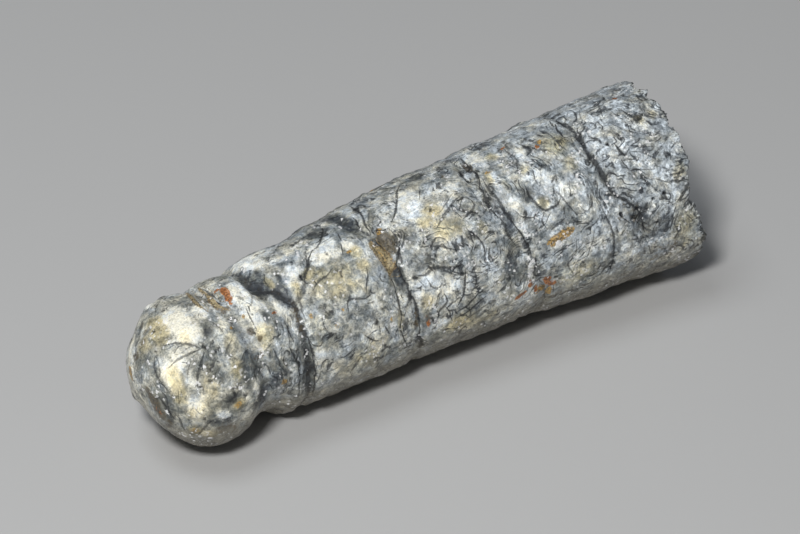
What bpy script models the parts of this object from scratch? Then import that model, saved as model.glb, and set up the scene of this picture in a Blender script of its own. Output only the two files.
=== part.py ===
"""Orthoceras fossil: the stone filling of a straight chambered shell, one solid lying on its side.

Metres, +Z up. +X runs along the stone, from its rounded small end to its broken wide end, and the
origin is the middle of its underside. Run it with: blender --background --python part.py

A place on the stone is given in two numbers: how far along its axis from the middle, in millimetres,
and how far around from the top line, in degrees, down the near side (-Y) first.
"""

import math

import bmesh
import bpy
from mathutils import Vector, noise

MM = 0.001

# Size of the stone
DOME_ALONG = -29.0  # middle of the ball that rounds the small end
BREAK_ALONG = 30.2  # average place of the broken end
RADIUS_AT_DOME = 8.36
RADIUS_IN_MIDDLE = 9.68
RADIUS_AT_BREAK = 10.88
BOW = 2.5  # how far the middle stands out from a straight line between the ends, towards +Y
BOW_HALF_SPAN = 40.0
FLAT_HEIGHT = 0.22  # what is worn off the underside, which leaves a strip that the stone rests on

# The seams between the chambers: half the groove's width, then where it runs, as
# (around, along, depth) once round the stone.
SEAMS = (
    (
        0.55,
        (
            (-55, -27.2, 0.20),
            (0, -26.9, 0.50),
            (40, -26.1, 0.30),
            (78, -25.4, 0.40),
            (105, -25.6, 0.10),
            (190, -25.8, 0.10),
            (240, -26.6, 0.20),
        ),
    ),
    (
        0.75,
        (
            (-40, -22.3, 0.30),
            (2, -22.1, 0.55),
            (20, -21.4, 0.55),
            (36, -20.1, 0.65),
            (70, -19.9, 0.65),
            (100, -20.0, 0.60),
            (122, -18.9, 0.25),
            (180, -19.2, 0.20),
            (250, -21.2, 0.25),
        ),
    ),
    (
        0.65,
        (
            (-40, -8.2, 0.15),
            (5, -8.0, 0.45),
            (28, -7.5, 0.55),
            (45, -7.0, 0.65),
            (70, -6.3, 0.60),
            (95, -6.2, 0.55),
            (122, -4.8, 0.30),
            (180, -5.2, 0.18),
            (250, -7.2, 0.20),
        ),
    ),
    (
        0.55,
        (
            (-30, 8.1, 0.12),
            (0, 6.8, 0.55),
            (20, 6.2, 0.50),
            (40, 6.2, 0.55),
            (53, 7.7, 0.45),
            (76, 8.9, 0.35),
            (115, 10.9, 0.16),
            (180, 10.6, 0.18),
            (250, 9.2, 0.20),
        ),
    ),
    (
        0.50,
        (
            (-30, 20.6, 0.15),
            (0, 20.2, 0.32),
            (36, 20.0, 0.35),
            (60, 21.3, 0.28),
            (82, 23.2, 0.16),
            (130, 23.6, 0.12),
            (200, 22.6, 0.16),
            (270, 21.2, 0.20),
        ),
    ),
)
CHAMBER_SWELL = 0.18  # how much wider a chamber is in its middle than at its seams

# The rim of the broken end, as (around, along)
RIM = (
    (-40, 31.6),
    (-9, 30.6),
    (17, 30.6),
    (26, 30.1),
    (34, 30.6),
    (49, 30.4),
    (56, 29.6),
    (71, 29.2),
    (89, 30.3),
    (108, 31.1),
    (150, 30.3),
    (190, 31.1),
    (225, 29.9),
    (265, 30.8),
    (295, 30.1),
)
RIM_CHIPS = 0.15
BREAK_DISH = 0.9  # how far the middle of the broken end lies behind its rim
BREAK_LUMPS = ((5.0, 0.8), (2.2, 0.4))  # wavelength and height
STEP_HEIGHT, STEP_SLOPE = 0.9, 2.4  # the ledge where the break changed level
STEP_FROM_MIDDLE, STEP_TURN = 1.5, math.radians(35)

# The piece of the outer wall that has flaked off under the small end, next to the ball
GAP_FROM, GAP_DEEPEST, GAP_TO = -27.5, -24.3, -20.8  # along
GAP_AROUND = (76, 108, 205, 232)  # starts, full, full, ends

# Lumps, hollows and pits, as (along, around, half length, half breadth, height)
LUMPS = (
    (-30.6, -48, 3.6, 3.6, 0.55),  # brow over the ball
    (-22.6, -48, 2.6, 4.0, -0.30),  # waist behind it
    (-19.4, -24, 2.8, 2.6, 0.25),  # white knob
    (-14.2, -46, 3.6, 4.5, -0.45),
    (14.6, -46, 3.8, 4.5, -0.42),
    (-22.3, 128, 2.2, 6.5, -0.55),
    (-21.5, 6, 1.6, 4.0, -0.35),  # valley beside the knob
    (-16.3, 20, 1.0, 0.9, -0.50),  # hole where two cracks meet
    (-14.6, 4, 2.2, 2.4, 0.22),
    (-12.0, 45, 5.0, 6.0, 0.15),
    (-6.5, 22, 1.5, 2.4, -0.60),  # square recess in the third seam
    (-0.5, 4, 4.0, 5.0, 0.15),
    (6.9, 2, 0.9, 1.6, -0.45),  # pocket at the top of the fourth seam
    (-25.4, 57, 0.8, 0.8, -0.30),
    (-24.5, 70, 0.8, 0.7, -0.25),
    (-25.2, 88, 0.9, 1.3, -0.35),
    (13.0, 66, 3.0, 2.0, 0.12),
    (23.1, 29, 0.8, 1.2, -0.20),
    (24.5, 220, 4.0, 5.0, -0.30),  # scars of the side that lies away
    (-2.0, 235, 3.5, 4.5, -0.25),
    (-13.5, 260, 3.0, 4.0, 0.20),
    (12.0, 285, 4.0, 4.0, 0.20),
)
TIP_FLAT = (-35.8, 180, 9.6, 1.45)  # along, around, reach and depth of the worn spot under the tip
SPUR = (-36.6, -118, 1.5, 0.7)  # along, around, reach and height of the chip beside it
WAVES = ((7.0, 0.13), (2.8, 0.08))  # wavelength and height of the uneven surface

# Mesh
AROUND_STEPS = 56
DOME_RINGS = 9
BREAK_RINGS = 8
RING_SPACING = 1.3
SEAM_RINGS = (-1.5, -0.85, -0.4, 0.0, 0.4, 0.85, 1.5)
MERGE = 0.00001


def eased(t):
    """0 to 1 with a soft start and end."""
    t = min(max(t, 0.0), 1.0)
    return t * t * (3 - 2 * t)


def round_the_stone(stations, around, column=1):
    """A value that is known at some angles, read at any angle."""
    start = stations[0][0]
    turned = (around - start) % 360 + start
    loop = stations + ((start + 360, *stations[0][1:]),)
    for here, there in zip(loop, loop[1:]):
        if turned <= there[0]:
            part = eased((turned - here[0]) / (there[0] - here[0]))
            return here[column] + (there[column] - here[column]) * part
    return stations[0][column]


def radius_at(along):
    """A parabola through the three radii, and the ball's own radius past its middle."""
    along = max(along, DOME_ALONG)
    ends = (along / DOME_ALONG) * (along - BREAK_ALONG) / (DOME_ALONG - BREAK_ALONG)
    wide = (along / BREAK_ALONG) * (along - DOME_ALONG) / (BREAK_ALONG - DOME_ALONG)
    return RADIUS_AT_DOME * ends + RADIUS_IN_MIDDLE * (1 - ends - wide) + RADIUS_AT_BREAK * wide


def bow_at(along):
    return BOW * (1 - (along / BOW_HALF_SPAN) ** 2)


def seam_average(stations):
    return sum(station[1] for station in stations) / len(stations)


def leaned(along, around):
    """Rings of the mesh lean with the seams, so that each seam runs along one of them."""
    fixed = [(DOME_ALONG, DOME_ALONG)]
    for _, stations in SEAMS:
        fixed.append((seam_average(stations), round_the_stone(stations, around)))
    fixed.append((BREAK_ALONG, round_the_stone(RIM, around)))
    if along <= DOME_ALONG:
        return along
    for (low, low_place), (high, high_place) in zip(fixed, fixed[1:]):
        if along <= high:
            return low_place + (high_place - low_place) * (along - low) / (high - low)
    return fixed[-1][1] + along - BREAK_ALONG


def place(along, around, out=0.0):
    """The point of the plain form at this place, moved out along the surface's normal."""
    turn = math.radians(around)
    middle = Vector((along, bow_at(along), radius_at(along)))
    if along >= DOME_ALONG:
        outward = Vector((0, -math.sin(turn), math.cos(turn)))
        return middle + outward * (radius_at(along) + out)
    back = (along - DOME_ALONG) / RADIUS_AT_DOME
    ring = math.sqrt(max(1 - back * back, 0.0))
    outward = Vector((back, -ring * math.sin(turn), ring * math.cos(turn)))
    return middle + Vector((0, outward.y, outward.z)) * RADIUS_AT_DOME + outward * out


def waves(point):
    height = 0.0
    for wavelength, size in WAVES:
        height += size * noise.noise(point / wavelength)
    return height


def grooves(along, around):
    depth = 0.0
    for half_width, stations in SEAMS:
        away = (along - round_the_stone(stations, around)) / half_width
        depth += round_the_stone(stations, around, column=2) * math.exp(-away * away)
    return depth


def swell(along, around):
    places = [round_the_stone(stations, around) for _, stations in SEAMS]
    places.append(round_the_stone(RIM, around))
    for low, high in zip(places, places[1:]):
        if low < along < high:
            part = (along - low) / (high - low)
            return CHAMBER_SWELL * (4 * part * (1 - part) - 2 / 3)
    return 0.0


def flaked_off(along, around):
    """How deep the missing flake is: it lays the ball bare, then slopes up to the wall again."""
    start, full, last, end = GAP_AROUND
    turned = around % 360
    share = eased((turned - start) / (full - start)) * eased((end - turned) / (end - last))
    if not GAP_FROM < along < GAP_TO:
        return 0.0
    across = min(along, GAP_DEEPEST) - DOME_ALONG
    depth = radius_at(along) - math.sqrt(RADIUS_AT_DOME**2 - across**2)
    if along > GAP_DEEPEST:
        depth *= (GAP_TO - along) / (GAP_TO - GAP_DEEPEST)
    return depth * share


def lumps(along, around):
    height = 0.0
    for lump_along, lump_around, half_length, half_breadth, size in LUMPS:
        turn = (around - lump_around + 180) % 360 - 180
        arc = math.radians(turn) * radius_at(along)
        away = ((along - lump_along) / half_length) ** 2 + (arc / half_breadth) ** 2
        height += size * eased(1 - away)
    return height


def near(point, spot_along, spot_around, reach):
    return eased(1 - (point - place(spot_along, spot_around)).length / reach)


def side_point(along, around):
    bare = place(along, around)
    out = waves(bare) + lumps(along, around) + swell(along, around)
    out -= grooves(along, around) + flaked_off(along, around)
    *flat, flat_depth = TIP_FLAT
    *spur, spur_height = SPUR
    out += spur_height * near(bare, *spur) - flat_depth * near(bare, *flat)
    return place(along, around, out)


def break_point(around, share):
    """A point of the broken end, share of the way from its middle to its rim."""
    rim_place = leaned(BREAK_ALONG, around)
    rim = side_point(rim_place, around)
    middle = Vector((0, bow_at(BREAK_ALONG), radius_at(BREAK_ALONG)))
    point = middle.lerp(Vector((0, rim.y, rim.z)), share)
    inside = 1 - share**5
    across = (point.y - middle.y) * math.cos(STEP_TURN) + (point.z - middle.z) * math.sin(STEP_TURN)
    point.x = rim_place + (BREAK_ALONG - rim_place) * inside - BREAK_DISH * (1 - share * share)
    point.x += STEP_HEIGHT * eased((across - STEP_FROM_MIDDLE) / STEP_SLOPE) * inside
    for wavelength, height in BREAK_LUMPS:
        point.x += height * noise.noise(Vector((31, point.y, point.z)) / wavelength) * inside
    return point


def ring_places():
    """Where the mesh has rings along the side: close together at a seam, even between seams."""
    places = [DOME_ALONG]
    for _, stations in SEAMS:
        places += [seam_average(stations) + step for step in SEAM_RINGS]
    places.append(BREAK_ALONG)
    filled = []
    for low, high in zip(places, places[1:]):
        count = max(round((high - low) / RING_SPACING), 1)
        filled += [low + (high - low) * step / count for step in range(count)]
    return filled + [BREAK_ALONG]


def profile():
    """(along, radius) from the middle of the broken end to the tip of the ball."""
    rim = radius_at(BREAK_ALONG)
    points = [(BREAK_ALONG, rim * ring / BREAK_RINGS) for ring in range(BREAK_RINGS)]
    points += [(along, radius_at(along)) for along in reversed(ring_places())]
    for ring in range(1, DOME_RINGS + 1):
        turn = math.pi / 2 * ring / DOME_RINGS
        ball = (DOME_ALONG - RADIUS_AT_DOME * math.sin(turn), RADIUS_AT_DOME * math.cos(turn))
        points.append(ball)
    return points


def turned_form(collection):
    """The plain form: the profile turned once round the X axis."""
    mesh = bpy.data.meshes.new("fossil_profile")
    points = profile()
    vertices = [(along, 0.0, radius) for along, radius in points]
    mesh.from_pydata(vertices, [(i, i + 1) for i in range(len(points) - 1)], [])
    guide = bpy.data.objects.new("fossil_profile", mesh)
    collection.objects.link(guide)
    screw = guide.modifiers.new("turn", "SCREW")
    screw.axis = "X"
    screw.steps = AROUND_STEPS
    screw.render_steps = AROUND_STEPS
    screw.use_merge_vertices = True
    screw.merge_threshold = MERGE
    bpy.context.view_layer.update()
    evaluated = guide.evaluated_get(bpy.context.evaluated_depsgraph_get())
    turned = bpy.data.meshes.new_from_object(evaluated)
    turned.name = "fossil"
    bpy.data.objects.remove(guide)
    return turned


def shape(form):
    """Moves each point of the plain form to its place on the stone."""
    rim_radius = radius_at(BREAK_ALONG)
    for vertex in form.verts:
        along, across, height = vertex.co
        around = math.degrees(math.atan2(-across, height))
        radius = math.hypot(across, height)
        if along > BREAK_ALONG - MERGE and radius < rim_radius - MERGE:
            vertex.co = break_point(around, radius / rim_radius)
            continue
        moved = leaned(along, around)
        if along > BREAK_ALONG - MERGE:
            moved += RIM_CHIPS * noise.noise(Vector((3, across, height)) / 1.5)
        vertex.co = side_point(moved, around)


def wear_underside(form):
    lowest = min(vertex.co.z for vertex in form.verts)
    for vertex in form.verts:
        vertex.co.z = max(vertex.co.z, lowest + FLAT_HEIGHT)


def rest_on_origin(form):
    """Puts the middle of the underside at the origin, in metres."""
    low = Vector([min(vertex.co[axis] for vertex in form.verts) for axis in range(3)])
    high = Vector([max(vertex.co[axis] for vertex in form.verts) for axis in range(3)])
    middle = (low + high) / 2
    for vertex in form.verts:
        vertex.co = (vertex.co - Vector((middle.x, middle.y, low.z))) * MM


def stone():
    material = bpy.data.materials.new("veined calcite")
    material.use_nodes = True
    shader = material.node_tree.nodes["Principled BSDF"]
    shader.inputs["Base Color"].default_value = (0.27, 0.28, 0.26, 1.0)
    shader.inputs["Roughness"].default_value = 0.45
    shader.inputs["Metallic"].default_value = 0.0
    return material


for old in list(bpy.data.objects):
    bpy.data.objects.remove(old)
parts = bpy.data.collections.new("orthoceras fossil")
bpy.context.scene.collection.children.link(parts)

body = turned_form(parts)
form = bmesh.new()
form.from_mesh(body)
bmesh.ops.remove_doubles(form, verts=form.verts, dist=MERGE)
shape(form)
wear_underside(form)
rest_on_origin(form)
bmesh.ops.recalc_face_normals(form, faces=form.faces)
form.to_mesh(body)
form.free()
body.materials.append(stone())
body.shade_smooth()
body.set_sharp_from_angle(angle=math.radians(40))
parts.objects.link(bpy.data.objects.new("fossil", body))
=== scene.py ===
import math

import bpy
import numpy as np
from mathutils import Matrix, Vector, noise


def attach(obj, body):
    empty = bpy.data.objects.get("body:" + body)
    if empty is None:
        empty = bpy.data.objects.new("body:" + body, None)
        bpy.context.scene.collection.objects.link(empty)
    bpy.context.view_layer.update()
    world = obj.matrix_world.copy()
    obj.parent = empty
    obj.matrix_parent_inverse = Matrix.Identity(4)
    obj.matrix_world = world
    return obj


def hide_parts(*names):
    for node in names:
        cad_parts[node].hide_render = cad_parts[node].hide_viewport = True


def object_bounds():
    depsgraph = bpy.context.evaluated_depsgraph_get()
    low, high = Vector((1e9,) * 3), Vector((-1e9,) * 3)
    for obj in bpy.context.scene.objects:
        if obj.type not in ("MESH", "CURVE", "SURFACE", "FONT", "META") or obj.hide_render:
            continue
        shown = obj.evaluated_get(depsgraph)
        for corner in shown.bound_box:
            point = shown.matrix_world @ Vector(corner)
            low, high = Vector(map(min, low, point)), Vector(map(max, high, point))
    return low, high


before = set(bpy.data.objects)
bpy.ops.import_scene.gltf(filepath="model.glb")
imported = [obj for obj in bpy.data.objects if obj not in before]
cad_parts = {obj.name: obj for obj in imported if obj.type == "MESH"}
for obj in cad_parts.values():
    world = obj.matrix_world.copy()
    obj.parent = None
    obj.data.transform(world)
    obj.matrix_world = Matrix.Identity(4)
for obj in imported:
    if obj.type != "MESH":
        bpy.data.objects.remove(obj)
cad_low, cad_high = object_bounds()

MM = 0.001

# --- The table, the lamps and the camera -----------------------------------------------------
# The stone lies on its side on a plain pale table, under a soft lamp a little above the camera,
# with a weaker, broader one overhead. A long lens looks down on it, past its small end.

TABLE_SIZE = 3.0
TABLE_GREY = 0.50
TABLE_ROUGHNESS = 0.6
ROOM_LIGHT = (0.80, 0.84, 0.90, 1.0)
ROOM_STRENGTH = 0.11
CAMERA_TURN = -33.754  # degrees, seen from above
CAMERA_HEIGHT = 36.6  # degrees above the table
CAMERA_DISTANCE = 602.87 * MM
CAMERA_AIM = Vector((0.244, 0.495, 10.91)) * MM
CAMERA_LENS = 247.5
CAMERA_SENSOR = 36.0
CAMERA_NEAREST = 0.05


def deselect():
    bpy.ops.object.select_all(action="DESELECT")


def direction(turn, height):
    """Towards the camera or a lamp that stands at this turn and height, in degrees."""
    turn, height = math.radians(turn), math.radians(height)
    level = math.cos(height)
    return Vector((math.sin(turn) * level, -math.cos(turn) * level, math.sin(height)))


def softbox(name, turn, height, distance, size, watts, colour):
    """A soft lamp that stands at this turn, height and distance from the stone and faces it."""
    place = CAMERA_AIM + direction(turn, height) * distance
    bpy.ops.object.light_add(type="AREA", location=place)
    lamp = bpy.context.object
    lamp.name = name
    lamp.rotation_euler = direction(turn, height).to_track_quat("Z", "Y").to_euler()
    lamp.data.shape = "RECTANGLE"
    lamp.data.size, lamp.data.size_y = size
    lamp.data.energy = watts
    lamp.data.color = colour


deselect()
bpy.ops.mesh.primitive_plane_add(size=TABLE_SIZE)
table = bpy.context.object
table.name = "table"
table_paint = bpy.data.materials.new("pale table")
table_paint.use_nodes = True
table_shader = table_paint.node_tree.nodes["Principled BSDF"]
table_shader.inputs["Base Color"].default_value = (TABLE_GREY, TABLE_GREY, TABLE_GREY, 1.0)
table_shader.inputs["Roughness"].default_value = TABLE_ROUGHNESS
table.data.materials.append(table_paint)

softbox("key softbox", -48, 50, 0.55, (0.09, 0.08), 2.30, (1.0, 0.99, 0.97))
softbox("overhead softbox", -110, 72, 0.60, (0.25, 0.25), 0.9, (0.93, 0.97, 1.0))

world = bpy.data.worlds.new("studio")
bpy.context.scene.world = world
world.use_nodes = True
room = world.node_tree.nodes["Background"]
room.inputs["Color"].default_value = ROOM_LIGHT
room.inputs["Strength"].default_value = ROOM_STRENGTH
bpy.context.scene.view_settings.view_transform = "Standard"

bpy.ops.object.camera_add(location=CAMERA_AIM + direction(CAMERA_TURN, CAMERA_HEIGHT) * CAMERA_DISTANCE)
camera = bpy.context.object
camera.rotation_euler = (math.radians(90 - CAMERA_HEIGHT), 0, math.radians(CAMERA_TURN))
camera.data.lens = CAMERA_LENS
camera.data.sensor_width = CAMERA_SENSOR
camera.data.clip_start = CAMERA_NEAREST
bpy.context.scene.camera = camera

# --- The body of the stone --------------------------------------------------------------------
# One piece of calcite, the filling of a straight chambered shell, worn smooth and then pitted
# again. It is the solid's own form, meshed finely enough to carry cracks, pits and crystals.

FINE_MESH = 0.27 * MM
WELD_REACH = 0.002 * MM
SOFTENING = 6
BREAK_DEPTH = 3.2 * MM  # how much of the wide end is left as broken
# the kind of lumps, their size, their height each way, the texture's grey that stays level, and
# whether the ball at the small end has them too
UNEVENNESS = (
    ("CLOUDS", 1.5, 0.10, 0.55, True), ("CLOUDS", 0.7, 0.08, 0.55, True),
    ("VORONOI", 1.7, -0.11, 0.25, False), ("VORONOI", 0.8, -0.07, 0.25, False),
)
BALL_END = -20 * MM

deselect()
stone = bpy.data.objects.new("orthoceras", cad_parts["fossil"].data.copy())
bpy.context.scene.collection.objects.link(stone)
bpy.context.view_layer.objects.active = stone
stone.select_set(True)
stone.data.materials.clear()
bpy.ops.object.mode_set(mode="EDIT")
bpy.ops.mesh.select_all(action="SELECT")
bpy.ops.mesh.remove_doubles(threshold=WELD_REACH)
bpy.ops.object.mode_set(mode="OBJECT")
remesh = stone.modifiers.new("fine mesh", "REMESH")
remesh.mode = "VOXEL"
remesh.voxel_size = FINE_MESH
bpy.ops.object.modifier_apply(modifier=remesh.name)
rim_start = cad_high[0] - BREAK_DEPTH
before_rim = [point.index for point in stone.data.vertices if point.co.x < rim_start]
stone.vertex_groups.new(name="side").add(before_rim, 1.0, "REPLACE")
soften = stone.modifiers.new("no facets", "SMOOTH")
soften.vertex_group = "side"
soften.iterations = SOFTENING
soften.factor = 0.5
bpy.ops.object.modifier_apply(modifier=soften.name)
past_ball = [point.index for point in stone.data.vertices if point.co.x > BALL_END]
stone.vertex_groups.new(name="chambers").add(past_ball, 1.0, "REPLACE")
for kind, size, height, level, everywhere in UNEVENNESS:
    lumps = bpy.data.textures.new("lumps", kind)
    lumps.noise_scale = size * MM
    uneven = stone.modifiers.new("uneven", "DISPLACE")
    uneven.texture = lumps
    uneven.texture_coords = "LOCAL"
    uneven.strength = height * MM * 2
    uneven.mid_level = level
    if not everywhere:
        uneven.vertex_group = "chambers"
    bpy.ops.object.modifier_apply(modifier=uneven.name)
bpy.ops.object.shade_smooth()

# --- Places on the stone ----------------------------------------------------------------------
# What marks the skin is placed by how far along the stone it is from the middle, in millimetres,
# and how far around from the top line, in degrees, down the near side first. Past the middle of
# the ball at the small end, along is measured over its skin.

BALL_ALONG = -29.0
BREAK_ALONG = 30.2
BALL_RADIUS = 8.36
MIDDLE_RADIUS = 9.68
BREAK_RADIUS = 10.88
BOW, BOW_HALF_SPAN = 2.5, 40.0
AXIS_ZERO = np.array((2.629, -1.374, -0.090))  # the middle of the stone's lowest line
# the skin is the broken end where it faces this much along the stone, this far along it
FACE_TURN, FACE_TURN_FADE = 0.45, 0.35
FACE_ALONG, FACE_ALONG_FADE = 27.5, 0.8
SOFT_EDGE = 1.6  # a soft mark ends at the square root of this many times its size


def radius_at(along):
    along = np.maximum(along, BALL_ALONG)
    ball = (along / BALL_ALONG) * (along - BREAK_ALONG) / (BALL_ALONG - BREAK_ALONG)
    wide = (along / BREAK_ALONG) * (along - BALL_ALONG) / (BREAK_ALONG - BALL_ALONG)
    return BALL_RADIUS * ball + MIDDLE_RADIUS * (1 - ball - wide) + BREAK_RADIUS * wide


def bow_at(along):
    return BOW * (1 - (along / BOW_HALF_SPAN) ** 2)


def place(along, around):
    """The point of the plain form at this place, in millimetres."""
    turn = math.radians(around)
    past = max(BALL_ALONG - along, 0) / BALL_RADIUS
    along = max(along, BALL_ALONG) - BALL_RADIUS * math.sin(past)
    radius = radius_at(along)
    ring = radius * math.cos(past)
    point = (along, bow_at(along) - ring * math.sin(turn), radius + ring * math.cos(turn))
    return np.array(point) + AXIS_ZERO


def read_points(mesh):
    flat = np.empty(len(mesh.vertices) * 3)
    mesh.vertices.foreach_get("co", flat)
    return flat.reshape(-1, 3) / MM


def read_normals(mesh):
    flat = np.empty(len(mesh.vertices) * 3)
    mesh.vertex_normals.foreach_get("vector", flat)
    return flat.reshape(-1, 3)


def eased(t):
    t = np.clip(t, 0.0, 1.0)
    return t * t * (3 - 2 * t)


skin = read_points(stone.data)
outward = read_normals(stone.data)
from_axis = skin - AXIS_ZERO
skin_along = from_axis[:, 0].copy()
sideways = bow_at(skin_along) - from_axis[:, 1]
upwards = from_axis[:, 2] - radius_at(skin_along)
skin_ring = np.hypot(sideways, upwards)
skin_around = np.degrees(np.arctan2(sideways, upwards))
on_ball = skin_along < BALL_ALONG
over = np.arctan2(BALL_ALONG - skin_along[on_ball], skin_ring[on_ball])
skin_along[on_ball] = BALL_ALONG - BALL_RADIUS * over
on_break = eased((outward[:, 0] - FACE_TURN) / FACE_TURN_FADE)
on_break *= eased((skin_along - FACE_ALONG) / FACE_ALONG_FADE)


def turned_from(around):
    return (skin_around - around + 180) % 360 - 180


def offset_from(along, around):
    """How far each point of the skin is from a place, along the stone and around it."""
    return skin_along - along, np.radians(turned_from(around)) * skin_ring


def spread(marks):
    """How strongly a set of soft marks covers each point: each is (along, around, half length,
    half breadth, strength), and then its lean in degrees if it has one."""
    cover = np.zeros(len(skin))
    for along, around, half_length, half_breadth, strength, *lean in marks:
        lengthwise, breadthwise = offset_from(along, around)
        lean = math.radians(lean[0]) if lean else 0.0
        u = (lengthwise * math.cos(lean) + breadthwise * math.sin(lean)) / half_length
        v = (breadthwise * math.cos(lean) - lengthwise * math.sin(lean)) / half_breadth
        cover = np.maximum(cover, strength * eased(1 - (u * u + v * v) / SOFT_EDGE))
    return cover * (1 - on_break)


def keep(name, values):
    """Stores a value per point, for the material to read."""
    layer = stone.data.attributes.new(name, "FLOAT", "POINT")
    layer.data.foreach_set("value", np.ascontiguousarray(values, dtype=np.float32))


# --- The cracks and the veins -----------------------------------------------------------------
# Dark threads of clay run through the calcite in curves, and some have opened into cracks. Each
# is drawn as (width, darkness, depth, places that it runs through).

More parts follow.
